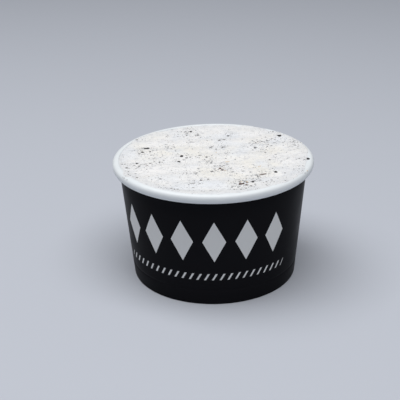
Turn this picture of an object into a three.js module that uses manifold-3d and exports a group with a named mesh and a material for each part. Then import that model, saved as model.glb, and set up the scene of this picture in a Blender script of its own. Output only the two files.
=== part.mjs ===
// A paper gelato cup with a rolled rim, filled level with pale gelato that holds flakes of
// chocolate and biscuit. Millimetres, +Z up. The origin is the centre of the circle that the
// cup stands on, and the cup's front faces -Y.
//
// The cup is made as such cups are: a conical sleeve whose ends overlap in one upright seam,
// its top edge rolled outwards into a rim, its lower edge turned up inside round the skirt of
// a raised bottom disc.

import * as THREE from 'three';
import { mergeVertices } from 'three/addons/utils/BufferGeometryUtils.js';
import Module from 'manifold-3d';

const wasm = await Module();
wasm.setup();

// ---- Driving dimensions ---------------------------------------------------------------

const CUP_HEIGHT = 56.4;
const RIM_RADIUS = 46.3; // outside of the rolled rim
const FOOT_RADIUS = 38.4; // outside of the sleeve, carried down to the table
const FLARE = 0.0918; // how far the sleeve leans out in each millimetre of height
const BOARD = 0.4; // thickness of the coated board
const LAYER_GAP = 0.1; // air between two layers of board

const ROLL_Z = 54.15; // height at which the rolled rim is widest
const ROLL_BEND_WIDTH = 0.4; // the board's tight bend out of the wall, at its middle line
const ROLL_BEND_HEIGHT = 0.6;
const ROLL_BOTTOM = 52.1; // underside of the roll
const ROLL_BOTTOM_RADIUS = 44.6; // radius at which the roll is lowest
const ROLL_TUCK = 0.75; // half-width of the last bend, where the board's edge turns up again
const ROLL_END = -112.5; // degrees, where the board's edge lies under the roll
const ROLL_STEP = 22.5; // degrees from one facet of the roll to the next
const BEND_FACETS = 3; // facets of the tight bend
const SHOULDER_FULLNESS = 2.5; // of the roll's outer shoulder, where a round one has 2

const DISC_HEIGHT = 6; // middle of the bottom disc above the table
const SKIRT_FOOT = 1; // lower edge of the disc's skirt above the table
const BEND_RADIUS = 0.6; // where the disc turns down into its skirt
const HEM_HEIGHT = 5.2; // how far the sleeve's lower edge comes up inside
const FOLD_RADIUS = 0.25; // each corner of the folded foot
const CRIMP_HEIGHT = 7.4; // groove pressed into the sleeve just above the hem
const CRIMP_WIDTH = 1.8;
const CRIMP_DEPTH = 0.2;

const SEAM_AZIMUTH = 68; // degrees from +X towards +Y, so it stands at the back
const SEAM_WIDTH = 8;

const FILL_GAP = 0.3; // between the gelato and the board round it
const FILL_LEVEL = 55.85; // mean height of the levelled top at its edge
const FILL_CROWN = 0.35; // how much higher its middle is
const RELIEF = 0.16; // height of each family of strokes that the levelling knife left
const SHOULDER = 5; // the strokes fade out over this distance from the rim

const ROUND = 72; // facets round the cup
const TOP_RINGS = 11; // rings of facets across the gelato's top

// ---- Flakes -----------------------------------------------------------------------------

// The large flakes that stand out: place across and in depth, length, width, turn in degrees.
const LARGE_FLAKES = [
  [12.9, -33.2, 4.4, 2.6, 15],
  [17.0, -31.1, 2.2, 2.2, 20],
  [21.9, -22.4, 5.6, 1.2, 20],
  [27.6, -20.1, 2.1, 2.4, 0],
  [3.6, -16.1, 3.0, 1.8, 140],
  [6.3, -6.7, 3.2, 1.4, 15],
  [32.4, 25.8, 2.6, 2.0, 5],
  [-31.1, 12.3, 2.4, 2.0, 30],
  [-29.3, 6.7, 1.8, 1.4, 60],
  [-32.8, 6.4, 1.8, 1.3, 0],
  [-14.3, 1.0, 2.5, 1.6, 90],
  [-15.4, -5.5, 2.0, 1.6, 40],
  [-34.7, -6.7, 2.0, 1.6, 20],
  [-10.8, 35.0, 2.2, 1.6, 10],
  [7.6, 28.0, 2.2, 1.6, 0],
  [3.3, 20.0, 2.4, 1.4, 25],
  [20.5, 17.0, 1.8, 1.5, 70],
  [28.6, -2.7, 1.8, 1.5, 35],
  [-3.0, -1.4, 1.8, 1.3, 15],
  [-0.8, -8.2, 1.6, 1.3, 0],
];
const SMALL_FLAKES = 58;
const SMALL_LENGTH = [1.3, 2.0];
const FLAKE_FIELD_RADIUS = 39.5; // the flakes' middles stay within this, clear of the rim
const FLAKE_SPACING = 2.6; // least distance between two flakes' middles, beyond their lengths
const FLAKE_THICKNESS = 0.7;
const FLAKE_STANDS_PROUD = 0.2;
const DRAW_SEED = 20417;

// ---- Sizes that follow --------------------------------------------------------------------

const HALF_BOARD = BOARD / 2;
const LAYER_PITCH = BOARD + LAYER_GAP;

// Middle of the sleeve's board at a height.
function sleeveRadius(z) {
  return FOOT_RADIUS + FLARE * z - HALF_BOARD;
}

const BEND_Z = CUP_HEIGHT - HALF_BOARD - ROLL_BEND_HEIGHT; // where the wall ends and its bend starts
const TOP_OF_ROLL = sleeveRadius(BEND_Z) + ROLL_BEND_WIDTH; // radius at which the rim is highest

// Inner face of the sleeve at a height, and of the bend at its top.
function innerFace(z) {
  if (z <= BEND_Z) {
    return sleeveRadius(z) - HALF_BOARD;
  }
  const rise = (z - BEND_Z) / (ROLL_BEND_HEIGHT + HALF_BOARD);
  return TOP_OF_ROLL - (ROLL_BEND_WIDTH + HALF_BOARD) * Math.sqrt(1 - rise * rise);
}

// ---- Working with geometry ------------------------------------------------------------------

// Joins equal vertices and drops the faces that this closes up, such as those at a pole.
function weld(geometry) {
  geometry.deleteAttribute('normal');
  geometry.deleteAttribute('uv');
  const welded = mergeVertices(geometry, 1e-4);
  const faces = [];
  for (let i = 0; i < welded.index.count; i += 3) {
    const face = [0, 1, 2].map((corner) => welded.index.getX(i + corner));
    if (new Set(face).size === 3) {
      faces.push(...face);
    }
  }
  welded.setIndex(faces);
  return welded;
}

// Turns a profile of (radius, height) points about the cup's axis.
function revolve(profile) {
  const geometry = new THREE.LatheGeometry(profile, ROUND);
  geometry.rotateX(Math.PI / 2);
  return weld(geometry);
}

function toSolid(geometry) {
  const vertProperties = new Float32Array(geometry.attributes.position.array);
  const triVerts = Uint32Array.from(geometry.index.array);
  return new wasm.Manifold(new wasm.Mesh({ numProp: 3, vertProperties, triVerts }));
}

function toGeometry(solid) {
  const { vertProperties, triVerts } = solid.getMesh();
  const geometry = new THREE.BufferGeometry();
  geometry.setAttribute('position', new THREE.BufferAttribute(vertProperties, 3));
  geometry.setIndex(new THREE.BufferAttribute(triVerts, 1));
  return geometry;
}

// Points along part of an ellipse in the (radius, height) plane, from one angle to another. A
// fullness over 2 fills its corners out towards the box round it.
function arc([x, y], halfWidth, halfHeight, fromDegrees, toDegrees, steps, fullness = 2) {
  const points = [];
  for (let i = 0; i <= steps; i += 1) {
    const angle = THREE.MathUtils.degToRad(fromDegrees + (toDegrees - fromDegrees) * (i / steps));
    const [across, up] = [Math.cos(angle), Math.sin(angle)].map(
      (share) => Math.sign(share) * Math.abs(share) ** (2 / fullness),
    );
    points.push(new THREE.Vector2(x + halfWidth * across, y + halfHeight * up));
  }
  return points;
}

// A rounded corner of a bent sheet of board.
function corner(centre, radius, fromDegrees, toDegrees, steps) {
  return arc(centre.toArray(), radius, radius, fromDegrees, toDegrees, steps);
}

// One face of a sheet of board: its middle line moved sideways by a distance.
function offsetLine(line, distance) {
  return line.map((point, i) => {
    const before = line[Math.max(i - 1, 0)];
    const after = line[Math.min(i + 1, line.length - 1)];
    const along1 = (i === 0 ? after : point).clone().sub(i === 0 ? point : before).normalize();
    const along2 = (i === line.length - 1 ? point : after)
      .clone()
      .sub(i === line.length - 1 ? before : point)
      .normalize();
    const side1 = new THREE.Vector2(along1.y, -along1.x);
    const side2 = new THREE.Vector2(along2.y, -along2.x);
    const mitre = side1.clone().add(side2).normalize();
    return point.clone().addScaledVector(mitre, distance / mitre.dot(side1));
  });
}

// Section through a sheet of board, given its middle line. A line that starts on the axis
// makes a section that starts and ends there, and any other is closed on itself.
function boardSection(line) {
  const section = [...offsetLine(line, HALF_BOARD), ...offsetLine(line, -HALF_BOARD).reverse()];
  if (line[0].x > 0) {
    section.push(section[0].clone());
  }
  return section;
}

// ---- Sleeve -----------------------------------------------------------------------------------

// The rim's middle line: a tight bend out of the wall, a round shoulder outside, and the
// board's edge tucked under it.
function rollLine() {
  const outermost = RIM_RADIUS - HALF_BOARD;
  const crown = CUP_HEIGHT - HALF_BOARD - ROLL_Z;
  const drop = ROLL_Z - ROLL_BOTTOM - HALF_BOARD;
  const top = [TOP_OF_ROLL, ROLL_Z];
  const bottom = [ROLL_BOTTOM_RADIUS, ROLL_Z];
  const facets = (degrees) => Math.round(degrees / ROLL_STEP);
  return [
    ...arc([TOP_OF_ROLL, BEND_Z], ROLL_BEND_WIDTH, ROLL_BEND_HEIGHT, 180, 90, BEND_FACETS),
    ...arc(top, outermost - TOP_OF_ROLL, crown, 90, 0, facets(90), SHOULDER_FULLNESS).slice(1),
    ...arc(bottom, outermost - ROLL_BOTTOM_RADIUS, drop, 0, -90, facets(90)).slice(1),
    ...arc(bottom, ROLL_TUCK, drop, -90, ROLL_END, facets(-90 - ROLL_END)).slice(1),
  ];
}

function sleeveLine() {
  const point = (x, y) => new THREE.Vector2(x, y);
  const hemInset = 2 * LAYER_PITCH;
  const footZ = HALF_BOARD + FOLD_RADIUS;
  const outerCorner = point(sleeveRadius(footZ) - FOLD_RADIUS, footZ);
  const innerCorner = point(outerCorner.x - hemInset + 2 * FOLD_RADIUS, footZ);
  const line = [
    point(sleeveRadius(HEM_HEIGHT) - hemInset, HEM_HEIGHT),
    ...corner(innerCorner, FOLD_RADIUS, 180, 270, 2),
    ...corner(outerCorner, FOLD_RADIUS, 270, 360, 2),
    point(sleeveRadius(CRIMP_HEIGHT - CRIMP_WIDTH / 2), CRIMP_HEIGHT - CRIMP_WIDTH / 2),
    point(sleeveRadius(CRIMP_HEIGHT) - CRIMP_DEPTH, CRIMP_HEIGHT),
    point(sleeveRadius(CRIMP_HEIGHT + CRIMP_WIDTH / 2), CRIMP_HEIGHT + CRIMP_WIDTH / 2),
  ];
  return [...line, ...rollLine()];
}

// The outer of the sleeve's two ends, as a strip that lies on the one under it.
function seamStrip() {
  const low = BOARD + FOLD_RADIUS;
  const high = ROLL_BOTTOM - HALF_BOARD;
  const shell = revolve([
    new THREE.Vector2(sleeveRadius(low), low),
    new THREE.Vector2(sleeveRadius(low) + HALF_BOARD + BOARD, low),
    new THREE.Vector2(sleeveRadius(high) + HALF_BOARD + BOARD, high),
    new THREE.Vector2(sleeveRadius(high), high),
    new THREE.Vector2(sleeveRadius(low), low),
  ]);
  const cutter = new THREE.BoxGeometry(2 * RIM_RADIUS, SEAM_WIDTH, 2 * CUP_HEIGHT);
  cutter.translate(RIM_RADIUS, 0, 0);
  cutter.rotateZ(THREE.MathUtils.degToRad(SEAM_AZIMUTH));
  return toSolid(shell).intersect(toSolid(weld(cutter)));
}

function makeSleeve() {
  const sleeve = toSolid(revolve(boardSection(sleeveLine())));
  return toGeometry(sleeve.add(seamStrip()));
}

// ---- Bottom disc ----------------------------------------------------------------------------

function makeBottom() {
  const skirtRadius = (z) => sleeveRadius(z) - LAYER_PITCH;
  const bendZ = DISC_HEIGHT - BEND_RADIUS;
  const bend = new THREE.Vector2(skirtRadius(bendZ) - BEND_RADIUS, bendZ);
  return revolve(
    boardSection([
      new THREE.Vector2(0, DISC_HEIGHT),
      ...corner(bend, BEND_RADIUS, 90, 0, 3),
      new THREE.Vector2(skirtRadius(SKIRT_FOOT), SKIRT_FOOT),
    ]),
  );
}

// ---- Gelato ---------------------------------------------------------------------------------

// Broad, shallow strokes of the levelling knife, laid across the cup at slight angles.
function strokes(x, y) {
  let height = 0;
  for (const [length, lean, bow, start] of [
    [17, 0.16, 0.0022, 0.4],
    [10.5, -0.1, -0.0016, 2.1],
  ]) {
    const across = y + lean * x + bow * x * x;
    height += RELIEF * Math.sin((2 * Math.PI * across) / length + start);
  }
  return height;
}

function topHeight(x, y) {
  const edge = innerFace(FILL_LEVEL) - FILL_GAP;
  const radius = Math.hypot(x, y);
  const crown = FILL_CROWN * (1 - (radius / edge) ** 2);
  return FILL_LEVEL + crown + strokes(x, y) * THREE.MathUtils.smoothstep(edge - radius, 0, SHOULDER);
}

function gelatoBody() {
  const floorZ = DISC_HEIGHT + HALF_BOARD + FILL_GAP;
  const profile = [new THREE.Vector2(0, floorZ)];
  for (const z of [floorZ, BEND_Z, FILL_LEVEL]) {
    profile.push(new THREE.Vector2(innerFace(z) - FILL_GAP, z));
  }
  const edge = profile.at(-1).x;
  for (let ring = TOP_RINGS - 1; ring >= 0; ring -= 1) {
    profile.push(new THREE.Vector2((edge * ring) / TOP_RINGS, FILL_LEVEL));
  }
  const body = revolve(profile);
  const place = body.attributes.position;
  for (let i = 0; i < place.count; i += 1) {
    if (place.getZ(i) > FILL_LEVEL - 0.01) {
      place.setZ(i, topHeight(place.getX(i), place.getY(i)));
    }
  }
  return body;
}

// Mulberry32: the same draws on every run.
function drawer(seed) {
  let state = seed;
  return () => {
    state = (state + 0x6d2b79f5) | 0;
    let t = Math.imul(state ^ (state >>> 15), 1 | state);
    t = (t + Math.imul(t ^ (t >>> 7), 61 | t)) ^ t;
    return ((t ^ (t >>> 14)) >>> 0) / 4294967296;
  };
}

// One broken chip, most of it sunk in the gelato.
function flake([x, y, length, width, turn], draw) {
  const chip = new THREE.IcosahedronGeometry(1, 0);
  chip.rotateX(Math.PI * draw());
  chip.rotateY(Math.PI * draw());
  chip.scale(length / 2, width / 2, FLAKE_THICKNESS / 2);
  chip.rotateZ(THREE.MathUtils.degToRad(turn));
  chip.translate(x, y, topHeight(x, y) + FLAKE_STANDS_PROUD - FLAKE_THICKNESS / 2);
  return toSolid(weld(chip));
}

// Small flakes drawn evenly over the top, each clear of those already there.
function scatterFlakes(draw) {
  const flakes = [...LARGE_FLAKES];
  const clear = (x, y, length) =>
    flakes.every(
      ([otherX, otherY, otherLength]) =>
        Math.hypot(x - otherX, y - otherY) > FLAKE_SPACING + (length + otherLength) / 2,
    );
  while (flakes.length < LARGE_FLAKES.length + SMALL_FLAKES) {
    const radius = FLAKE_FIELD_RADIUS * Math.sqrt(draw());
    const azimuth = 2 * Math.PI * draw();
    const length = THREE.MathUtils.lerp(...SMALL_LENGTH, draw());
    const x = radius * Math.cos(azimuth);
    const y = radius * Math.sin(azimuth);
    if (clear(x, y, length)) {
      flakes.push([x, y, length, length * (0.6 + 0.3 * draw()), 180 * draw()]);
    }
  }
  return flakes;
}

function makeGelato() {
  const draw = drawer(DRAW_SEED);
  let gelato = toSolid(gelatoBody());
  for (const place of scatterFlakes(draw)) {
    gelato = gelato.add(flake(place, draw));
  }
  return toGeometry(gelato);
}

// ---- The cup --------------------------------------------------------------------------------

const BLACK_BOARD = new THREE.MeshStandardMaterial({ color: 0x1b1c20, roughness: 0.42, metalness: 0 });
const WHITE_BOARD = new THREE.MeshStandardMaterial({ color: 0xeef1f3, roughness: 0.5, metalness: 0 });
const PALE_GELATO = new THREE.MeshStandardMaterial({ color: 0xe9e6df, roughness: 0.6, metalness: 0 });

const cup = new THREE.Group();
for (const [name, geometry, material] of [
  ['cup_sleeve', makeSleeve(), BLACK_BOARD],
  ['cup_bottom', makeBottom(), WHITE_BOARD],
  ['gelato', makeGelato(), PALE_GELATO],
]) {
  const mesh = new THREE.Mesh(geometry, material);
  mesh.name = name;
  cup.add(mesh);
}

export default cup;
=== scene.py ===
"""A paper gelato cup, filled level with its rim with flecked gelato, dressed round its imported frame.

The cup's front faces -Y. Sizes are written in millimetres and turned to metres by MM.
"""

import functools
import math
import random

import bmesh
import bpy
from mathutils import Euler, Matrix, Vector, noise


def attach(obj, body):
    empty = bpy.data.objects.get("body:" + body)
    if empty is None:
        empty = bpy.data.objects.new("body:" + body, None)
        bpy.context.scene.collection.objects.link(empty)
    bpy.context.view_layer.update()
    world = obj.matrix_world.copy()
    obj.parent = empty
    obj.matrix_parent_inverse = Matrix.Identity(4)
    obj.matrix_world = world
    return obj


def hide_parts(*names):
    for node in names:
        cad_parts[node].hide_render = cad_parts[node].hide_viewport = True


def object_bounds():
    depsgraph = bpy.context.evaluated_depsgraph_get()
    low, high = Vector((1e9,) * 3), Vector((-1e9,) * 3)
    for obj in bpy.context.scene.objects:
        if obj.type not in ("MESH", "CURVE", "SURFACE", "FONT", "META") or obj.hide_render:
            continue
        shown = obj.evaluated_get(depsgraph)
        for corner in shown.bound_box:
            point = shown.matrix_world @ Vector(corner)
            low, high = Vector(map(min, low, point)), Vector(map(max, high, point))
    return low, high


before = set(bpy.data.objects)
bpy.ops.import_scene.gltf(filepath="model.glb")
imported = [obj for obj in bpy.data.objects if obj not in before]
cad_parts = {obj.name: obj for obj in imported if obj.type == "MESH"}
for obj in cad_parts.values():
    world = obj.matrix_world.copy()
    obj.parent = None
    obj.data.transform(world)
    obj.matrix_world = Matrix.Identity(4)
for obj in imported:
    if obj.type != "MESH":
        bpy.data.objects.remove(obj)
cad_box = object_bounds()

MM = 0.001
FRAME_MARGIN = 0.02
FRAME_TOP = cad_box[1][2] / MM - FRAME_MARGIN  # nothing stands higher than this

# ---- Driving sizes, in millimetres ----------------------------------------------------------------

CUP_HEIGHT = 56.4
RIM_RADIUS = 46.3
FOOT_RADIUS = 38.4
FLARE = 0.0918  # how much the radius grows for each millimetre of height
BOARD = 0.4  # its thickness
LAYER_GAP = 0.1  # between two layers of board

ROLL_Z = 54.15  # where the roll is widest
ROLL_BEND_WIDTH = 0.4  # the board's tight bend out of the wall, at its middle line
ROLL_BEND_HEIGHT = 0.6
ROLL_BOTTOM = 52.1
ROLL_BOTTOM_RADIUS = 44.6
ROLL_TUCK = 0.75  # half-width of the bend by which the board's edge is tucked in
ROLL_END = -112.5  # degrees, where the board's edge lies under the roll
ROLL_STEP = 7.5  # degrees from one point of the roll to the next
SHOULDER_FULLNESS = 2.5  # of the roll's outer shoulder, where a round one has 2

DISC_HEIGHT = 6.0
DISC_SAG = 0.25  # the disc hangs this much lower at its middle
DISC_RINGS = 12
DISC_STEPS = 144  # round the cup
BEND_RADIUS = 0.6  # where the disc turns down into its skirt
BEND_STEPS = 6
SKIRT_FOOT = 1.0

HEM_HEIGHT = 5.2
HEM_POINTS = (2.0, 3.6, HEM_HEIGHT)  # heights of the points on either side of the foot's fold
FOLD_RADIUS = 0.25
FOLD_STEPS = 4
CRIMP_HEIGHT = 7.4
CRIMP_WIDTH = 1.8
CRIMP_DEPTH = 0.16
CRIMP_STEPS = 8
KNURLS = 96  # upright ribs that the crimping wheel leaves in the hem
KNURL_DEPTH = 0.06
WALL_STEPS = 14
SLEEVE_STEPS = 392  # round the cup

SEAM_AZIMUTH = 68.0  # degrees from +X towards +Y, the middle of the overlap
SEAM_WIDTH = 8.0
SEAM_RAMP = 9.0  # over this length the outer end climbs on to the inner one
ROLL_SEAM_STEP = 0.16  # the rolling presses the seam nearly flush
ROLL_SEAM_START = 9.0  # this far below the rim's top the seam begins to be pressed

FILL_LEVEL = 55.85  # of the levelled top at its edge
FILL_CROWN = 0.35  # how much higher its middle is
RELIEF = 0.16  # of each set of the knife's strokes, above and below the levelled top
SHOULDER = 5.0  # width of the band in which the top runs out to its edge

CAMERA_PLACE = Vector((0.0, -409.3, 215.15))
CAMERA_YAW = -0.891
CAMERA_PITCH = 23.846
CAMERA_ROLL = -1.274
CAMERA_FIELD = 951.87 / 400  # focal length as a share of the picture's width
SENSOR_WIDTH = 36.0

# ---- Sizes that follow ----------------------------------------------------------------------------

HALF_BOARD = BOARD / 2
LAYER_PITCH = BOARD + LAYER_GAP


def sleeve_radius(z):
    """Middle of the sleeve's board at a height."""
    return FOOT_RADIUS + FLARE * z - HALF_BOARD


BEND_Z = CUP_HEIGHT - HALF_BOARD - ROLL_BEND_HEIGHT
TOP_OF_ROLL = sleeve_radius(BEND_Z) + ROLL_BEND_WIDTH  # radius at which the rim is highest


def inner_face(z):
    """Inner face of the sleeve at a height, and of the bend at its top."""
    if z <= BEND_Z:
        return sleeve_radius(z) - HALF_BOARD
    rise = min((z - BEND_Z) / (ROLL_BEND_HEIGHT + HALF_BOARD), 1.0)
    return TOP_OF_ROLL - (ROLL_BEND_WIDTH + HALF_BOARD) * math.sqrt(1 - rise * rise)


TOP_RADIUS = inner_face(FILL_LEVEL)  # of the gelato, at its level


def rim_top(radius):
    """Height of the rim's upper side at a radius, over its top and down its outer shoulder."""
    if radius < TOP_OF_ROLL:
        out = min((TOP_OF_ROLL - radius) / (ROLL_BEND_WIDTH + HALF_BOARD), 1.0)
        return BEND_Z + (ROLL_BEND_HEIGHT + HALF_BOARD) * math.sqrt(1 - out * out)
    out = min((radius - TOP_OF_ROLL) / (RIM_RADIUS - TOP_OF_ROLL), 1.0)
    return ROLL_Z + (CUP_HEIGHT - ROLL_Z) * (1 - out ** SHOULDER_FULLNESS) ** (1 / SHOULDER_FULLNESS)


def smoothstep(x, low, high):
    """0 up to low, 1 from high on, and a soft rise between them."""
    t = min(max((x - low) / (high - low), 0.0), 1.0)
    return t * t * (3 - 2 * t)


def azimuth_of(x, y):
    """Azimuth in degrees, rounded, because gelato_edge keeps what it has worked out for each."""
    return round(math.degrees(math.atan2(y, x)), 2)


# ---- Helpers for materials and pieces -------------------------------------------------------------

MERGE_DISTANCE = 1e-4  # in millimetres, points nearer than this are one
SHARP_DEGREES = 50


def linear(hex_colour):
    """An sRGB hex colour as linear RGBA."""
    channels = [int(hex_colour[i:i + 2], 16) / 255 for i in (1, 3, 5)]
    return [c / 12.92 if c <= 0.04045 else ((c + 0.055) / 1.055) ** 2.4 for c in channels] + [1.0]


def add(tree, kind, inputs=None, **settings):
    """Adds a node: its settings by name, and its inputs by name or number.

    An input is a value, a socket to link, or a node to link by the first output that it offers.
    """
    node = tree.nodes.new(kind)
    for name, value in settings.items():
        setattr(node, name, value)
    for key, value in (inputs or {}).items():
        if isinstance(value, bpy.types.Node):
            value = next(socket for socket in value.outputs if socket.enabled)
        if isinstance(value, bpy.types.NodeSocket):
            tree.links.new(value, node.inputs[key])
        else:
            node.inputs[key].default_value = value
    return node


def new_material(name):
    """An empty material, and its tree to fill."""
    material = bpy.data.materials.new(name)
    material.use_nodes = True
    material.node_tree.nodes.clear()
    return material, material.node_tree


def finish_material(tree, inputs):
    """Adds the surface itself, with these inputs, and the output."""
    add(tree, "ShaderNodeOutputMaterial", {"Surface": add(tree, "ShaderNodeBsdfPrincipled", inputs)})


def revolve(line, steps):
    """A bmesh made by spinning a line of (radius, height) points round the cup's axis."""
    bm = bmesh.new()
    verts = [bm.verts.new((point.x, 0.0, point.y)) for point in line]
    edges = [bm.edges.new(pair) for pair in zip(verts, verts[1:])]
    bmesh.ops.spin(
        bm, geom=verts + edges, cent=(0, 0, 0), axis=(0, 0, 1), angle=2 * math.pi, steps=steps,
        use_merge=True,
    )
    bmesh.ops.remove_doubles(bm, verts=bm.verts, dist=MERGE_DISTANCE)
    bmesh.ops.recalc_face_normals(bm, faces=bm.faces)
    return bm


def make_piece(name, bm, materials):
    """Turns a bmesh, in millimetres, into a smooth-shaded piece on the cup's body."""
    bmesh.ops.scale(bm, vec=(MM, MM, MM), verts=bm.verts)
    mesh = bpy.data.meshes.new(name)
    bm.to_mesh(mesh)
    bm.free()
    for material in materials:
        mesh.materials.append(material)
    mesh.shade_smooth()
    piece = bpy.data.objects.new(name, mesh)
    bpy.context.scene.collection.objects.link(piece)
    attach(piece, "root")
    return piece


def thicken(piece, inner, edge, even):
    """Gives a piece the board's thickness, and its numbered materials to its inner face and its cut edge.

    Even keeps the thickness through tight bends.
    """
    board = piece.modifiers.new("board", "SOLIDIFY")
    board.thickness = BOARD * MM
    board.offset = 0.0
    board.use_even_offset = even
    board.material_offset = inner
    board.material_offset_rim = edge
    evaluated = piece.evaluated_get(bpy.context.evaluated_depsgraph_get())
    mesh = bpy.data.meshes.new_from_object(evaluated)
    piece.modifiers.clear()
    piece.data = mesh
    mesh.set_sharp_from_angle(angle=math.radians(SHARP_DEGREES))


# ---- Materials of the cup -------------------------------------------------------------------------

PRINT_CELLS = 18  # places for a lozenge round the cup
PRINT_BLANKS = (80.0, 260.0)  # azimuths from the front, at the middle of the two bare places
PRINT_BLANK_CELLS = 3
LOZENGE_MIDDLE = 32.25
LOZENGE_HALF_HEIGHT = 10.0
LOZENGE_SHARE = 0.72  # of its place's width
ROPE_CELLS = 72  # slanted strokes round the cup
ROPE_MIDDLE = 14.45
ROPE_HALF_HEIGHT = 1.6
ROPE_SHARE = 0.27  # of its place's width
ROPE_LEAN = 0.55  # how far a stroke goes round for each millimetre that it rises
INK_PATCH = 9.0  # size of the patches in which the print shines a little more or less

PEEL_SIZE = 0.7  # from one dimple of the board's film to the next
PEEL_DEPTH = 0.02
FIBRE_CLOUD = 2.5  # size of the faint clouds that the fibres make in the board's white
FIBRE = 0.3  # size of the bare fibres' speckle where the board is cut


def board_bump(tree, place, strength):
    """The faint orange peel of film-coated board."""
    peel = add(tree, "ShaderNodeTexNoise", {"Vector": place, "Scale": 1 / (PEEL_SIZE * MM), "Detail": 3.0})
    return add(tree, "ShaderNodeBump", {"Height": peel, "Strength": strength, "Distance": PEEL_DEPTH * MM})


def make_black_print():
    """Black ink under a satin film on cup board: near black, with soft-edged reflections.

    The print is a frieze of pale lozenges over a rope, a band of short slanted strokes.
    """
    material, tree = new_material("satin_black_print_on_board")
    place = add(tree, "ShaderNodeTexCoord").outputs["Object"]
    axes = add(tree, "ShaderNodeSeparateXYZ", {"Vector": place}).outputs
    height = add(tree, "ShaderNodeMath", {0: axes["Z"], 1: MM}, operation="DIVIDE")
    forward = add(tree, "ShaderNodeMath", {0: axes["Y"], 1: -1.0}, operation="MULTIPLY")
    angle = add(tree, "ShaderNodeMath", {0: axes["X"], 1: forward}, operation="ARCTAN2")
    turn = add(tree, "ShaderNodeMath", {0: angle, 1: 2 * math.pi}, operation="DIVIDE")

    def from_cell_middle(where, cells):
        """How far round from the middle of its cell a point is, as a share of half the cell."""
        counted = add(tree, "ShaderNodeMath", {0: where, 1: cells, 2: 0.5}, operation="MULTIPLY_ADD")
        share = add(tree, "ShaderNodeMath", {0: counted}, operation="FRACT")
        centred = add(tree, "ShaderNodeMath", {0: share, 1: 0.5}, operation="SUBTRACT")
        off = add(tree, "ShaderNodeMath", {0: centred}, operation="ABSOLUTE")
        return add(tree, "ShaderNodeMath", {0: off, 1: 2.0}, operation="MULTIPLY")

    def clear_of(where, blank):
        """1 outside the bare place, whose middle is at this azimuth from the front."""
        beyond = add(tree, "ShaderNodeMath", {0: where, 1: blank / 360}, operation="SUBTRACT")
        nearest = add(tree, "ShaderNodeMath", {0: beyond, 1: 0.5, 2: -0.5}, operation="WRAP")
        off = add(tree, "ShaderNodeMath", {0: nearest}, operation="ABSOLUTE")
        half_blank = PRINT_BLANK_CELLS / 2 / PRINT_CELLS
        return add(tree, "ShaderNodeMath", {0: off, 1: half_blank}, operation="GREATER_THAN")

    from_middle = from_cell_middle(turn, PRINT_CELLS)
    across = add(tree, "ShaderNodeMath", {0: from_middle, 1: LOZENGE_SHARE}, operation="DIVIDE")
    above_middle = add(tree, "ShaderNodeMath", {0: height, 1: LOZENGE_MIDDLE}, operation="SUBTRACT")
    off_middle = add(tree, "ShaderNodeMath", {0: above_middle}, operation="ABSOLUTE")
    up = add(tree, "ShaderNodeMath", {0: off_middle, 1: LOZENGE_HALF_HEIGHT}, operation="DIVIDE")
    slope = add(tree, "ShaderNodeMath", {0: across, 1: up}, operation="ADD")
    lozenge = add(tree, "ShaderNodeMath", {0: slope, 1: 1.0}, operation="LESS_THAN")

    lean_in_turns = ROPE_LEAN / (2 * math.pi * sleeve_radius(ROPE_MIDDLE))
    above_rope = add(tree, "ShaderNodeMath", {0: height, 1: ROPE_MIDDLE}, operation="SUBTRACT")
    leant = add(tree, "ShaderNodeMath", {0: above_rope, 1: lean_in_turns}, operation="MULTIPLY")
    upright = add(tree, "ShaderNodeMath", {0: turn, 1: leant}, operation="SUBTRACT")
    from_stroke = from_cell_middle(upright, ROPE_CELLS)
    stroke = add(tree, "ShaderNodeMath", {0: from_stroke, 1: ROPE_SHARE}, operation="LESS_THAN")
    off_rope = add(tree, "ShaderNodeMath", {0: above_rope}, operation="ABSOLUTE")
    band = add(tree, "ShaderNodeMath", {0: off_rope, 1: ROPE_HALF_HEIGHT}, operation="LESS_THAN")
    rope = add(tree, "ShaderNodeMath", {0: stroke, 1: band}, operation="MULTIPLY")

    for blank in PRINT_BLANKS:
        lozenge = add(tree, "ShaderNodeMath", {0: lozenge, 1: clear_of(turn, blank)}, operation="MULTIPLY")
        rope = add(tree, "ShaderNodeMath", {0: rope, 1: clear_of(upright, blank)}, operation="MULTIPLY")
    pale = add(tree, "ShaderNodeMath", {0: lozenge, 1: rope}, operation="MAXIMUM")

    colour = add(tree, "ShaderNodeMix", {
        "Factor": pale, "A": linear("#18181b"), "B": linear("#dedfdf"),
    }, data_type="RGBA")
    patches = add(tree, "ShaderNodeTexNoise", {"Vector": place, "Scale": 1 / (INK_PATCH * MM), "Detail": 4.0})
    roughness = add(tree, "ShaderNodeMapRange", {
        "Value": patches, "From Min": 0.3, "From Max": 0.7, "To Min": 0.3, "To Max": 0.4,
    })
    finish_material(tree, {
        "Base Color": colour,
        "Roughness": roughness,
        "IOR": 1.45,
        "Specular IOR Level": 0.02,
        "Normal": board_bump(tree, place, 0.25),
    })
    return material


def make_white_board():
    """Food board with a thin plastic film: a clean, slightly cool white with a dull sheen."""
    material, tree = new_material("film_coated_white_board")
    place = add(tree, "ShaderNodeTexCoord").outputs["Object"]
    fibres = add(tree, "ShaderNodeTexNoise", {
        "Vector": place, "Scale": 1 / (FIBRE_CLOUD * MM), "Detail": 5.0,
    })
    colour = add(tree, "ShaderNodeMix", {
        "Factor": fibres, "A": linear("#e0e5e8"), "B": linear("#e9edef"),
    }, data_type="RGBA")
    finish_material(tree, {
        "Base Color": colour,
        "Roughness": 0.42,
        "IOR": 1.5,
        "Normal": board_bump(tree, place, 0.2),
    })
    return material


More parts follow.
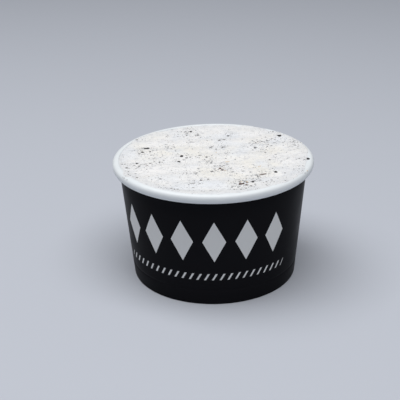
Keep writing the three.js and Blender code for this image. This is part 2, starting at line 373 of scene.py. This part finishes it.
def make_board_edge():
    """The board's cut edge: bare fibre, dull and a little creamier than its faces."""
    material, tree = new_material("cut_board_edge")
    place = add(tree, "ShaderNodeTexCoord").outputs["Object"]
    fibres = add(tree, "ShaderNodeTexNoise", {"Vector": place, "Scale": 1 / (FIBRE * MM), "Detail": 3.0})
    colour = add(tree, "ShaderNodeMix", {
        "Factor": fibres, "A": linear("#d8d2c4"), "B": linear("#efebe0"),
    }, data_type="RGBA")
    finish_material(tree, {"Base Color": colour, "Roughness": 0.85, "IOR": 1.5})
    return material


# ---- Materials of the gelato ----------------------------------------------------------------------

MILK_WHITE = "#ebeae9"
KNIFE_TURN = -6.0  # degrees, how the knife's way lies to X

# Tints, laid over one another: colour; size of its lumps, how many times longer they are along the
# knife's way, detail and place in the noise; and noise at which it starts, is full, and its strength.
PATCHES = (
    ("#ebe8e1", (15.0, 1.2, 1.0, 135.19), (0.45, 0.75, 1.0)),  # creamier
    ("#e4e6e9", (12.0, 1.3, 1.0, 554.68), (0.45, 0.75, 1.0)),  # cooler
)
COCOA_DUST = (
    ("#c9cbcf", (1.9, 1.2, 4.0, 4.4), (0.48, 0.72, 0.45)),  # clouds of it under the surface
    ("#a9a9ab", (0.8, 3.2, 4.0, 1.3), (0.54, 0.74, 0.4)),  # streaks that the knife drew out
    ("#747374", (0.5, 1.3, 2.0, 5.2), (0.62, 0.72, 0.6)),  # single grains, drawn coarse enough to show
)
# A cool grey that the gelato turns towards the rim
RIM_GREYING = "#d8dadd"
GREYING_START = 36.0  # from this radius out to the rim the gelato turns a little greyer
GREYING_STRENGTH = 0.5

# Lumps of the skin's crystals and of its wetter and drier patches, in the tints' way.
SKIN_CRYSTALS = (0.5, 2.0, 4.0, 2.4)
SKIN_DEPTH = 0.06
WET_PATCHES = (2.0, 3.0, 3.0, 9.9)
GLOW_DEPTH = 1.2  # how far light goes into the milk


def make_gelato_finish():
    """Milk gelato, frozen and struck level: off-white with creamier patches and a wet-matt skin.

    Fine cocoa dust in it looks grey, and towards the rim it is a little greyer too.
    """
    material, tree = new_material("milk_gelato")
    place = add(tree, "ShaderNodeTexCoord").outputs["Object"]

    def grain(size, stretch, detail, shift):
        """Noise whose lumps are about size mm across, and stretch times as long along the knife's way."""
        laid = add(tree, "ShaderNodeMapping", {
            "Vector": place,
            "Location": (shift, shift, 0.0),
            "Rotation": (0.0, 0.0, math.radians(KNIFE_TURN)),
            "Scale": (1 / (size * stretch * MM), 1 / (size * MM), 1 / (size * MM)),
        })
        return add(tree, "ShaderNodeTexNoise", {"Vector": laid, "Scale": 1.0, "Detail": detail})

    def tinted(colour, tint, amount, low, high, strength):
        """The colour with a tint laid over it, which grows while an amount goes from low to high."""
        share = add(tree, "ShaderNodeMapRange", {
            "Value": amount, "From Min": low, "From Max": high, "To Min": 0.0, "To Max": strength,
        }, interpolation_type="SMOOTHSTEP")
        return add(tree, "ShaderNodeMix", {
            "Factor": share, "A": colour, "B": linear(tint),
        }, data_type="RGBA")

    colour = linear(MILK_WHITE)
    for tint, lumps, growth in PATCHES:
        colour = tinted(colour, tint, grain(*lumps), *growth)
    flat = add(tree, "ShaderNodeVectorMath", {0: place, 1: (1.0, 1.0, 0.0)}, operation="MULTIPLY")
    from_axis = add(tree, "ShaderNodeVectorMath", {0: flat}, operation="LENGTH")
    # a little greyer from GREYING_START out to the rim
    colour = tinted(colour, RIM_GREYING, from_axis, GREYING_START * MM, TOP_RADIUS * MM, GREYING_STRENGTH)
    for tint, lumps, growth in COCOA_DUST:
        colour = tinted(colour, tint, grain(*lumps), *growth)

    skin = grain(*SKIN_CRYSTALS)
    bump = add(tree, "ShaderNodeBump", {"Height": skin, "Strength": 0.5, "Distance": SKIN_DEPTH * MM})
    roughness = add(tree, "ShaderNodeMapRange", {
        "Value": grain(*WET_PATCHES), "From Min": 0.35, "From Max": 0.65, "To Min": 0.42, "To Max": 0.62,
    }, interpolation_type="SMOOTHSTEP")
    finish_material(tree, {
        "Base Color": colour,
        "Roughness": roughness,
        "IOR": 1.4,
        "Subsurface Weight": 0.25,
        "Subsurface Radius": (1.0, 0.96, 0.9),
        "Subsurface Scale": GLOW_DEPTH * MM,
        "Normal": bump,
    })
    return material


RISE = "rise"  # attribute: how far out of the gelato a flake's point is, as a share of its whole rise
PATCHINESS = 0.8  # how much of that share the smeared milk's edge wanders
SMEARED_MILK = "#e2e3e4"
CRUMB_DEPTH = 0.1  # of a flake's grainy surface

# Name, dark and light tone, roughness, size of the crumb, and share of its rise from which it is bare.
FLAKE_FINISHES = {
    # Dark chocolate, snapped when cold: near black, with the dull shine of cocoa butter.
    "chocolate": ("dark_chocolate", "#161314", "#2b2625", 0.45, 0.5, 0.12),
    # The same under a skin of milk: grey, paler towards its sides.
    "veiled": ("chocolate_under_milk", "#5f5d5b", "#8a8887", 0.5, 0.5, 0.9),
    # Baked cocoa biscuit, crushed: warm brown, mottled and quite dull.
    "biscuit": ("cocoa_biscuit", "#35231f", "#705347", 0.75, 0.4, 0.12),
    # Toasted nut, chopped: pale tan, with the faint gloss of its oil.
    "nut": ("toasted_nut", "#cbb59c", "#e0d2bc", 0.6, 0.6, 0.12),
}


def make_flake_finish(name, dark, light, roughness, crumb_size, bare_from):
    """A broken food piece: two tones of one colour, mottled at the size of its crumb.

    The knife left milk on its lower parts, in patches, so its outline is soft.
    """
    material, tree = new_material(name)
    place = add(tree, "ShaderNodeTexCoord").outputs["Object"]
    crumb = add(tree, "ShaderNodeTexNoise", {"Vector": place, "Scale": 1 / (crumb_size * MM), "Detail": 3.0})
    colour = add(tree, "ShaderNodeMix", {
        "Factor": crumb, "A": linear(dark), "B": linear(light),
    }, data_type="RGBA")
    rise = add(tree, "ShaderNodeAttribute", attribute_name=RISE).outputs["Fac"]
    patchy = add(tree, "ShaderNodeMath", {0: crumb, 1: PATCHINESS, 2: rise}, operation="MULTIPLY_ADD")
    bare = add(tree, "ShaderNodeMapRange", {
        "Value": patchy, "From Min": PATCHINESS / 2, "From Max": PATCHINESS / 2 + bare_from,
    }, interpolation_type="SMOOTHSTEP")
    smeared = add(tree, "ShaderNodeMix", {
        "Factor": bare, "A": linear(SMEARED_MILK), "B": colour,
    }, data_type="RGBA")
    bump = add(tree, "ShaderNodeBump", {"Height": crumb, "Strength": 0.4, "Distance": CRUMB_DEPTH * MM})
    finish_material(tree, {
        "Base Color": smeared,
        "Roughness": roughness,
        "IOR": 1.45,
        "Normal": bump,
    })
    return material


# ---- Sleeve ---------------------------------------------------------------------------------------


def arc(centre_r, centre_z, radius_r, radius_z, start, end, steps, fullness=2.0):
    """Points along part of an ellipse in the (radius, height) plane, in degrees.

    A fullness over 2 fills its corners out towards the box round it.
    """
    points = []
    for i in range(steps + 1):
        angle = math.radians(start + (end - start) * i / steps)
        across, up = (math.copysign(abs(c) ** (2 / fullness), c) for c in (math.cos(angle), math.sin(angle)))
        points.append(Vector((centre_r + radius_r * across, centre_z + radius_z * up)))
    return points


def wall_point(z):
    """Middle of the board on the sleeve's straight part, with the crimp pressed in."""
    from_crimp = (z - CRIMP_HEIGHT) / (CRIMP_WIDTH / 2)
    dent = CRIMP_DEPTH * (1 + math.cos(math.pi * from_crimp)) / 2 if abs(from_crimp) < 1 else 0.0
    return Vector((sleeve_radius(z) - dent, z))


def sleeve_line():
    """The board's middle line in section: down the hem, round its fold, up the wall and over the roll."""
    inset = 2 * LAYER_PITCH
    foot_z = HALF_BOARD + FOLD_RADIUS
    outer = sleeve_radius(foot_z) - FOLD_RADIUS
    inner = outer - inset + 2 * FOLD_RADIUS
    line = [Vector((sleeve_radius(z) - inset, z)) for z in reversed(HEM_POINTS)]
    line += arc(inner, foot_z, FOLD_RADIUS, FOLD_RADIUS, 180, 270, FOLD_STEPS)
    line += arc(outer, foot_z, FOLD_RADIUS, FOLD_RADIUS, 270, 360, FOLD_STEPS)
    line += [wall_point(z) for z in HEM_POINTS]
    low = CRIMP_HEIGHT - CRIMP_WIDTH / 2
    line += [wall_point(low + CRIMP_WIDTH * i / CRIMP_STEPS) for i in range(CRIMP_STEPS + 1)]
    start = CRIMP_HEIGHT + CRIMP_WIDTH / 2
    line += [wall_point(start + (BEND_Z - start) * i / WALL_STEPS) for i in range(1, WALL_STEPS)]
    return line + roll_line()


def roll_line():
    """The rim: a tight bend out of the wall, a round shoulder outside and an edge tucked under it."""
    outermost = RIM_RADIUS - HALF_BOARD
    drop = ROLL_Z - ROLL_BOTTOM - HALF_BOARD
    quarter = round(90 / ROLL_STEP)
    line = arc(TOP_OF_ROLL, BEND_Z, ROLL_BEND_WIDTH, ROLL_BEND_HEIGHT, 180, 90, quarter)
    crown = CUP_HEIGHT - HALF_BOARD - ROLL_Z
    line += arc(TOP_OF_ROLL, ROLL_Z, outermost - TOP_OF_ROLL, crown, 90, 0, quarter, SHOULDER_FULLNESS)[1:]
    line += arc(ROLL_BOTTOM_RADIUS, ROLL_Z, outermost - ROLL_BOTTOM_RADIUS, drop, 0, -90, quarter)[1:]
    tuck_steps = round((-90 - ROLL_END) / ROLL_STEP)
    return line + arc(ROLL_BOTTOM_RADIUS, ROLL_Z, ROLL_TUCK, drop, -90, ROLL_END, tuck_steps)[1:]


def outward(line, i):
    """The printed side's direction at a point of the line."""
    along = (line[min(i + 1, len(line) - 1)] - line[max(i - 1, 0)]).normalized()
    return Vector((along.y, -along.x))


def make_sleeve(materials):
    """A flat blank, rolled round until its outer end lies on its inner one.

    The outer end climbs outwards. At the foot, where it can't go lower, the inner end is raised instead.
    """
    line = sleeve_line()
    sides = [outward(line, i) for i in range(len(line))]
    round_length = 2 * math.pi * sleeve_radius(CUP_HEIGHT / 2)
    overlap = SEAM_WIDTH / round_length
    ramp = SEAM_RAMP / round_length
    bm = bmesh.new()
    bmesh.ops.create_grid(bm, x_segments=SLEEVE_STEPS, y_segments=len(line) - 1, size=1.0)
    for vertex in bm.verts:
        turn = (vertex.co.x + 1) / 2 * (1 + overlap)
        i = round((vertex.co.y + 1) / 2 * (len(line) - 1))
        pressed = smoothstep(line[i].y, CUP_HEIGHT - ROLL_SEAM_START, ROLL_BOTTOM)
        pitch = LAYER_PITCH - (LAYER_PITCH - ROLL_SEAM_STEP) * pressed
        climb = pitch * smoothstep(turn, 1 - ramp, 1)
        rise = LAYER_PITCH * (1 - smoothstep(turn, overlap, overlap + ramp))
        near_fold = 1 - smoothstep(line[i].y, HALF_BOARD + FOLD_RADIUS, HEM_POINTS[0])
        azimuth = math.radians(SEAM_AZIMUTH) + 2 * math.pi * (turn - overlap / 2)
        knurl = KNURL_DEPTH * math.cos(KNURLS * azimuth) if i < len(HEM_POINTS) else 0.0
        radius, height = line[i] + sides[i] * (climb + knurl)
        height += near_fold * (climb + rise)
        vertex.co = (radius * math.cos(azimuth), radius * math.sin(azimuth), height)
    piece = make_piece("paper_sleeve", bm, materials)
    thicken(piece, inner=1, edge=2, even=True)
    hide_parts("cup_sleeve")
    return piece


# ---- Bottom disc ----------------------------------------------------------------------------------


def make_bottom(materials):
    """A board disc that sags a little, bent down all round into a skirt that the sleeve's hem holds."""
    bend_z = DISC_HEIGHT - BEND_RADIUS
    bend_r = sleeve_radius(bend_z) - LAYER_PITCH - BEND_RADIUS
    line = []
    for i in range(DISC_RINGS):
        share = i / DISC_RINGS
        line.append(Vector((bend_r * share, DISC_HEIGHT - DISC_SAG * (1 - share * share) ** 2)))
    line += arc(bend_r, bend_z, BEND_RADIUS, BEND_RADIUS, 90, 0, BEND_STEPS)
    line.append(Vector((sleeve_radius(SKIRT_FOOT) - LAYER_PITCH, SKIRT_FOOT)))
    piece = make_piece("paper_bottom", revolve(line, DISC_STEPS), materials)
    thicken(piece, inner=0, edge=1, even=False)
    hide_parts("cup_bottom")
    return piece


# ---- Gelato ---------------------------------------------------------------------------------------

TOP_RINGS = 104
TOP_STEPS = 600  # round the cup
LAP_RINGS = 8  # beyond the top's, where the gelato lies on the rim
SIDE_HEIGHTS = (55.0, 40.0, 25.0, 10.0)  # of the rings against the wall
CORNER_HEIGHT = 1.0  # of the lowest of them, above the disc
FLOOR_SHARES = (0.97, 0.5, 0.0)  # of the wall's radius, the rings on the disc
TUCK = 0.04  # how far the gelato's edge goes into the board

# Bumps round the edge: azimuth and half-width in degrees, size in millimetres.
RIM_LAPS = (  # how far the knife smeared the gelato out over the rim's top
    (-95.0, 44.0, 0.95),
    (-37.0, 14.0, 1.6),
    (-26.0, 6.0, 0.5),
    (24.0, 21.0, 1.5),
    (62.0, 9.0, 0.6),
    (-151.0, 4.5, 1.2),
    (141.0, 14.0, 0.5),
)
SMEAR_RANGE = (0.05, 0.5)  # sizes of a bump that begins to climb the rim, and of one that is right on it
LEAST_LAP = 0.1
LAP_LIFT = 0.05  # how much higher than the rim the gelato is where it climbs on to it
LAP_FLAT = 0.35  # share of a lap's width on which it keeps its thickness
FILM = 0.16  # thickness of the gelato on the rim
EDGE_DIPS = (  # how deep a valley the knife left along the rim
    (-175.0, 24.0, 0.32),
    (105.0, 18.0, 0.12),
)
DIP_PLACE = 1.3  # in from the rim, the valley's middle
DIP_WIDTH = 1.2
DIP_AT_BOARD = 0.3  # share of the valley's depth by which the edge at the board is lower too
EDGE_LIFT = 0.2  # how much higher than the levelled top the gelato clings to the board
EDGE_GRIP = 0.08  # how far it goes into the board there

# Waves round the edge: height, length along the edge, and place in the noise.
LAP_WAVES = ((0.45, 5.0, 2.0), (0.3, 1.6, 7.0))
LEVEL_WAVES = ((0.16, 14.0, 5.0), (0.06, 3.0, 9.0))
FILM_WAVES = ((0.8, 4.0, 13.0),)  # their height is a share of the film's thickness

# The levelling knife's strokes: spacing, how much they lean and bow across the cup, and their start.
STROKES = ((17.0, 0.16, 0.0022, 0.4), (10.5, -0.1, -0.0016, 2.1))

# Marks of what was dragged under the knife: height, length, width, and place in the noise.
DRAG_MARKS = ((0.04, 7.0, 0.8, 3.0), (0.05, 16.0, 2.4, 8.0))
DRAG_LEAN = 0.1
MARKS_START = 1.2  # in from the rim, where marks and pits have their full depth

PORE_DEPTH = 0.22
PORE_LENGTH = 1.3
PORE_WIDTH = 0.8
PORE_RANGE = (0.34, 0.62)  # noise at which a pit begins and is at its deepest
PORE_PLACE = 14.0  # in the noise
PORE_CROWD_SIZE = 11.0  # of the places with more pits
PORE_CROWD_SHARE = 0.35  # how much of the noise they add
PORE_CROWD_PLACE = 21.0


def bumps(azimuth, places):
    """Sum of flat-topped bumps at an azimuth in degrees."""
    total = 0.0
    for middle, half_width, size in places:
        off = (azimuth - middle + 180) % 360 - 180
        total += size * math.exp(-((off / half_width) ** 4))
    return total


def edge_waves(azimuth, waves):
    """Sum of uneven waves round the edge at an azimuth in degrees."""
    turn = math.radians(azimuth)
    outwards = Vector((math.cos(turn), math.sin(turn), 0.0))
    total = 0.0
    for height, length, place in waves:
        total += height * noise.noise(outwards * (TOP_RADIUS / length) + Vector((0.0, 0.0, place)))
    return total


@functools.cache
def gelato_edge(azimuth):
    """The gelato's edge at an azimuth in degrees.

    Gives its level at the board, the radius at which it ends, and its thickness on the rim.
    """
    lap = bumps(azimuth, RIM_LAPS)
    smeared = smoothstep(lap, *SMEAR_RANGE)
    lap += smeared * edge_waves(azimuth, LAP_WAVES)
    level = FILL_LEVEL + EDGE_LIFT + edge_waves(azimuth, LEVEL_WAVES)
    level -= DIP_AT_BOARD * bumps(azimuth, EDGE_DIPS)
    level += smeared * (CUP_HEIGHT + LAP_LIFT - level)
    contact = inner_face(min(level, CUP_HEIGHT)) + EDGE_GRIP
    end = contact + smeared * (TOP_OF_ROLL + max(lap, LEAST_LAP) - contact)
    film = smeared * FILM * (1 + edge_waves(azimuth, FILM_WAVES))
    return level, end, film


def strokes(x, y):
    """Broad, shallow strokes of the levelling knife, laid across the cup at slight angles."""
    height = 0.0
    for spacing, lean, bow, start in STROKES:
        height += RELIEF * math.sin(2 * math.pi * (y + lean * x + bow * x * x) / spacing + start)
    return height


def drag_marks(x, y):
    """Fine lines along the strokes, where crystals and crumbs were dragged under the knife."""
    across = y + DRAG_LEAN * x
    total = 0.0
    for height, length, width, place in DRAG_MARKS:
        total += height * noise.noise(Vector((x / length, across / width, place)))
    return total


def pores(x, y):
    """Small torn pits, more of them in some places than others."""
    crowd = noise.noise(Vector((x / PORE_CROWD_SIZE, y / PORE_CROWD_SIZE, PORE_CROWD_PLACE)))
    pit = noise.noise(Vector((x / PORE_LENGTH, y / PORE_WIDTH, PORE_PLACE)))
    return -PORE_DEPTH * smoothstep(pit + PORE_CROWD_SHARE * crowd, *PORE_RANGE)


def lap_height(azimuth, radius):
    """The gelato's surface beyond the board's inner face."""
    level, end, film = gelato_edge(azimuth)
    share = (radius - TOP_RADIUS) / (end - TOP_RADIUS)
    height = rim_top(radius) - TUCK + (film + TUCK) * (1 - smoothstep(share, LAP_FLAT, 1.0))
    if share < 1 and radius < TOP_OF_ROLL:
        height = max(height, level)
    return height


def top_height(x, y):
    """The gelato's surface, as it is left round the flakes."""
    radius = math.hypot(x, y)
    azimuth = azimuth_of(x, y)
    if radius > TOP_RADIUS:
        return lap_height(azimuth, radius)
    edge = gelato_edge(azimuth)[0]
    from_rim = TOP_RADIUS - radius
    middle = FILL_LEVEL + FILL_CROWN * (1 - (radius / TOP_RADIUS) ** 2) + strokes(x, y)
    level = edge + (middle - edge) * smoothstep(from_rim, 0.0, SHOULDER)
    valley = math.exp(-(((from_rim - DIP_PLACE) / DIP_WIDTH) ** 2)) * smoothstep(from_rim, 0.0, DIP_PLACE)
    level -= bumps(azimuth, EDGE_DIPS) * valley
    return level + (drag_marks(x, y) + pores(x, y)) * smoothstep(from_rim, 0.0, MARKS_START)


def make_gelato(material):
    """The filling, down to the disc: its top is struck level, and laps over the rim in places.

    The laps' rings are drawn one millimetre wide in all, and then spread to where the lap ends.
    """
    floor_z = DISC_HEIGHT + HALF_BOARD - DISC_SAG / 2
    line = [Vector((TOP_RADIUS * i / TOP_RINGS, FILL_LEVEL)) for i in range(TOP_RINGS + 1)]
    line += [Vector((TOP_RADIUS + (i + 1) / LAP_RINGS, FILL_LEVEL)) for i in range(LAP_RINGS)]
    line += [Vector((inner_face(z), z)) for z in (*SIDE_HEIGHTS, floor_z + CORNER_HEIGHT)]
    line += [Vector((inner_face(floor_z) * share, floor_z)) for share in FLOOR_SHARES]
    bm = revolve(line, TOP_STEPS)
    for vertex in bm.verts:
        x, y, z = vertex.co
        if z <= SIDE_HEIGHTS[0]:
            continue
        radius = math.hypot(x, y)
        if radius < TOP_RADIUS + 0.5 / LAP_RINGS:
            vertex.co.z = min(top_height(x, y), FRAME_TOP)
            continue
        azimuth = azimuth_of(x, y)
        end = gelato_edge(azimuth)[1]
        spread = (TOP_RADIUS + (radius - TOP_RADIUS) * (end - TOP_RADIUS)) / radius
        vertex.co = (x * spread, y * spread, min(lap_height(azimuth, radius * spread), FRAME_TOP))
    piece = make_piece("gelato_fill", bm, [material])
    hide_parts("gelato")
    return piece


# ---- Flakes ---------------------------------------------------------------------------------------

# Flakes that stand out, by kind: place across and in depth, length, width, turn in degrees.
STANDING_OUT = {
    "chocolate": (
        (27.6, -20.1, 1.8, 2.1, 0),
        (17.0, -31.1, 1.7, 1.7, 20),
        (19.4, -24.6, 1.0, 0.9, 0),
        (11.2, -33.6, 1.3, 1.2, 20),
        (12.9, -32.6, 1.2, 0.9, 40),
        (32.4, 25.8, 3.2, 3.2, 5),
        (-31.1, 12.3, 3.5, 3.6, 30),
        (-29.3, 6.7, 1.1, 1.0, 60),
        (-32.8, 6.4, 2.0, 1.8, 0),
        (-14.3, 0.6, 2.9, 2.1, 90),
        (-12.0, -1.8, 1.7, 1.3, 20),
        (-15.4, -5.5, 1.9, 1.8, 40),
        (-24.4, -5.8, 1.1, 1.4, 0),
        (-28.6, -7.0, 1.0, 1.2, 30),
        (-34.7, -6.7, 1.8, 1.6, 20),
        (-10.8, 35.0, 2.0, 2.2, 10),
        (-13.4, 34.7, 1.4, 1.3, 0),
        (-12.6, 28.9, 1.2, 1.1, 45),
        (-7.1, 29.0, 1.4, 1.3, 15),
        (7.6, 28.0, 1.9, 1.8, 0),
        (20.5, 17.0, 1.4, 1.4, 70),
        (23.7, 19.1, 0.8, 0.7, 0),
        (19.9, 10.2, 1.7, 1.9, 0),
        (4.5, 11.2, 1.2, 1.4, 0),
        (28.6, -2.9, 1.3, 1.3, 35),
        (-3.0, -1.4, 1.7, 1.6, 15),
        (-0.8, -8.2, 1.5, 1.3, 0),
        (-0.4, -18.1, 1.7, 1.2, 10),
        (-5.3, -28.2, 1.1, 1.3, 0),
        (-16.5, -38.4, 0.8, 0.8, 0),
        (38.5, 17.1, 1.0, 0.7, 15),
        (38.8, 12.6, 1.3, 1.3, 0),
        (16.8, -23.7, 0.8, 0.8, 0),
        (43.4, -5.7, 2.4, 2.8, 25),
        (29.6, 31.0, 1.0, 0.7, 0),
    ),
    "veiled": (
        (-9.2, -32.2, 3.4, 0.7, 4),
        (-10.1, 18.4, 3.8, 0.8, -12),
        (-21.3, 12.5, 1.6, 1.4, 0),
        (-1.0, 11.2, 1.5, 1.3, 0),
        (8.6, -19.8, 1.5, 1.6, 0),
        (-41.3, -7.2, 1.4, 1.2, 20),
        (-7.7, -20.0, 2.6, 1.6, 20),
        (25.2, -30.2, 1.4, 1.4, 0),
        (-38.7, -12.6, 1.4, 1.6, 0),
        (3.3, 20.0, 2.6, 2.2, 25),
        (30.0, 21.4, 1.8, 1.0, 10),
        (-33.4, -12.2, 1.4, 1.0, 0),
        (-38.9, -23.9, 1.3, 0.6, -50),
        (-39.7, -22.6, 0.8, 0.5, -60),
        (-37.6, -25.9, 1.1, 0.5, -40),
        (40.4, -21.3, 1.0, 0.6, 60),
    ),
    "biscuit": (
        (12.0, -33.1, 3.0, 2.3, 15),
        (14.3, -34.2, 1.7, 1.3, 20),
        (14.4, -31.9, 1.5, 1.0, 150),
        (11.4, -31.4, 1.2, 1.0, 30),
        (3.2, -15.1, 1.8, 1.4, 140),
        (4.2, -17.0, 1.9, 1.4, 130),
        (21.9, -22.4, 5.6, 1.2, 20),
    ),
    "nut": (
        (6.3, -6.7, 2.8, 1.1, 15),
        (14.6, -31.2, 1.2, 1.0, 20),
        (20.6, -13.2, 1.5, 0.9, 0),
        (41.6, -18.8, 1.3, 0.7, 65),
    ),
}

RANDOM_FLAKES = {"chocolate": 114, "veiled": 395, "biscuit": 9, "nut": 6}
RANDOM_LENGTH = {"chocolate": (0.6, 1.35), "veiled": (0.7, 2.1), "biscuit": (0.6, 1.2), "nut": (0.7, 1.6)}
SPECKS = 2000
SPECK_LENGTH = (0.24, 0.72)
CHIP_WIDTH = (0.55, 1.0)  # of a scattered chip, as a share of its length
CHIP_TURN = 25.0  # degrees, the most that it is turned either way
CRUMB_SHARE = 0.35  # of the scattered chips, those that are crumbs of a flake that stands out
CRUMB_SPREAD = 2.6  # how far from it they lie
CROWD_SIZE = 7.0  # of the loose crowds in which the others lie
CROWD_PLACE = 168.76  # in the noise
CROWD_BASE = 0.35  # chance that a place in a middling crowd is kept
CROWD_CONTRAST = 1.5
EDGE_MARGIN = 0.3  # left free along the gelato's edge
DRAW_SEED = 20417

# A chip's thickness, how far it stands out of the gelato, and how finely its mesh is divided.
LARGE_CHIP = (0.7, 0.16, 3)
SMALL_CHIP = (0.5, 0.1, 2)
SPECK_CHIP = (0.3, 0.07, 1)
BREAK_FINENESS = 1.4  # lumps of a chip's broken surface in half its size
BREAK_DEPTH = 0.45  # of those lumps, as a share of half its size


def add_flake(bm, place, thickness, proud, subdivisions, draw):
    """Adds one broken chip, sunk in the gelato so that it stands out of it a little."""
    x, y, length, width, turn = place
    level = top_height(x, y)
    tilt = Euler((draw.uniform(0, math.pi), draw.uniform(0, math.pi), 0.0)).to_matrix().to_4x4()
    lay = (
        Matrix.Translation((x, y, level + proud - thickness / 2))
        @ Matrix.Rotation(math.radians(turn), 4, "Z")
        @ Matrix.Diagonal((length / 2, width / 2, thickness / 2, 1.0))
    )
    chip = bmesh.new()
    bmesh.ops.create_icosphere(chip, subdivisions=subdivisions, radius=1.0, matrix=tilt)
    rise = chip.verts.layers.float.new(RISE)
    for vertex in chip.verts:
        rough = noise.noise(vertex.co * BREAK_FINENESS + Vector((x, y, 0.0)))
        vertex.co = lay @ (vertex.co * (1 + BREAK_DEPTH * rough))
        vertex.co.z = min(vertex.co.z, FRAME_TOP)
        vertex[rise] = (vertex.co.z - level) / proud
    bmesh.ops.recalc_face_normals(chip, faces=chip.faces)
    spare = bpy.data.meshes.new("chip")
    chip.to_mesh(spare)
    chip.free()
    bm.from_mesh(spare)
    bpy.data.meshes.remove(spare)


def scatter(count, low, high, draw):
    """Places drawn over the top: some as crumbs round the flakes that stand out, the rest in crowds."""
    centres = [place[:2] for places in STANDING_OUT.values() for place in places]
    places = []
    while len(places) < count:
        if draw.random() < CRUMB_SHARE:
            centre = draw.choice(centres)
            x, y = (draw.gauss(middle, CRUMB_SPREAD) for middle in centre)
            keep = True
        else:
            radius = RIM_RADIUS * math.sqrt(draw.random())
            azimuth = draw.uniform(0, 2 * math.pi)
            x, y = radius * math.cos(azimuth), radius * math.sin(azimuth)
            crowd = noise.noise(Vector((x / CROWD_SIZE, y / CROWD_SIZE, CROWD_PLACE)))
            keep = draw.random() < CROWD_BASE + CROWD_CONTRAST * crowd
        end = gelato_edge(azimuth_of(x, y))[1]
        if keep and math.hypot(x, y) < end - EDGE_MARGIN - low / 2:
            length = low + (high - low) * draw.random() ** 2
            width = length * draw.uniform(*CHIP_WIDTH)
            places.append((x, y, length, width, draw.uniform(-CHIP_TURN, CHIP_TURN)))
    return places


def make_flakes(kind, material, draw):
    """All flakes of a kind, as one piece."""
    bm = bmesh.new()
    for place in STANDING_OUT[kind]:
        add_flake(bm, place, *LARGE_CHIP, draw)
    for place in scatter(RANDOM_FLAKES[kind], *RANDOM_LENGTH[kind], draw):
        add_flake(bm, place, *SMALL_CHIP, draw)
    return make_piece(kind + "_flakes", bm, [material])


def make_specks(material, draw):
    """Chocolate dust's largest grains, as one piece."""
    bm = bmesh.new()
    for place in scatter(SPECKS, *SPECK_LENGTH, draw):
        add_flake(bm, place, *SPECK_CHIP, draw)
    return make_piece("chocolate_specks", bm, [material])


# ---- Studio, in metres ----------------------------------------------------------------------------

SOFTBOX_PLACE = Vector((-0.08, -0.16, 1.1))
SOFTBOX_TARGET = Vector((0.0, 0.0, 0.05))
SOFTBOX_SIZE = (1.6, 0.8)
SOFTBOX_POWER = 15.5  # watts
ROOM_COLOUR = "#dfe3ea"
ROOM_LIGHT = 0.22
FLOOR_COLOUR = "#bcc0c9"
FLOOR_HALF_WIDTH = 3.0


def make_camera():
    """A camera before the cup, which looks down on it at a slant."""
    data = bpy.data.cameras.new("camera")
    data.sensor_width = SENSOR_WIDTH
    data.lens = CAMERA_FIELD * SENSOR_WIDTH
    data.clip_start, data.clip_end = 0.01, 20.0
    camera = bpy.data.objects.new("camera", data)
    bpy.context.scene.collection.objects.link(camera)
    aim = (
        Matrix.Rotation(math.radians(-CAMERA_YAW), 4, "Z")
        @ Matrix.Rotation(math.radians(90 - CAMERA_PITCH), 4, "X")
        @ Matrix.Rotation(math.radians(CAMERA_ROLL), 4, "Z")
    )
    camera.matrix_world = Matrix.Translation(CAMERA_PLACE * MM) @ aim
    bpy.context.scene.camera = camera


def make_lighting():
    """A wide softbox over the cup, in a dim room."""
    data = bpy.data.lights.new("overhead_softbox", "AREA")
    data.shape = "RECTANGLE"
    data.size, data.size_y = SOFTBOX_SIZE
    data.energy = SOFTBOX_POWER
    light = bpy.data.objects.new("overhead_softbox", data)
    bpy.context.scene.collection.objects.link(light)
    light.location = SOFTBOX_PLACE
    light.rotation_euler = (SOFTBOX_TARGET - SOFTBOX_PLACE).to_track_quat("-Z", "Y").to_euler()
    room = bpy.data.worlds.new("soft_room")
    room.use_nodes = True
    walls = room.node_tree.nodes["Background"].inputs
    walls["Color"].default_value = linear(ROOM_COLOUR)
    walls["Strength"].default_value = ROOM_LIGHT
    bpy.context.scene.world = room
    bpy.context.scene.view_settings.view_transform = "Standard"


def make_floor():
    """A plain pale floor."""
    bm = bmesh.new()
    bmesh.ops.create_grid(bm, x_segments=1, y_segments=1, size=FLOOR_HALF_WIDTH)
    mesh = bpy.data.meshes.new("floor")
    bm.to_mesh(mesh)
    bm.free()
    material, tree = new_material("pale_matt_floor")
    finish_material(tree, {"Base Color": linear(FLOOR_COLOUR), "Roughness": 0.8})
    mesh.materials.append(material)
    floor = bpy.data.objects.new("floor", mesh)
    bpy.context.scene.collection.objects.link(floor)


# ---- The cup --------------------------------------------------------------------------------------

make_camera()
make_lighting()
make_floor()

white_board = make_white_board()
board_edge = make_board_edge()
make_sleeve([make_black_print(), white_board, board_edge])
make_bottom([white_board, board_edge])
make_gelato(make_gelato_finish())

draw = random.Random(DRAW_SEED)
flake_finishes = {kind: make_flake_finish(*finish) for kind, finish in FLAKE_FINISHES.items()}
for kind, finish in flake_finishes.items():
    make_flakes(kind, finish, draw)
make_specks(flake_finishes["chocolate"], draw)
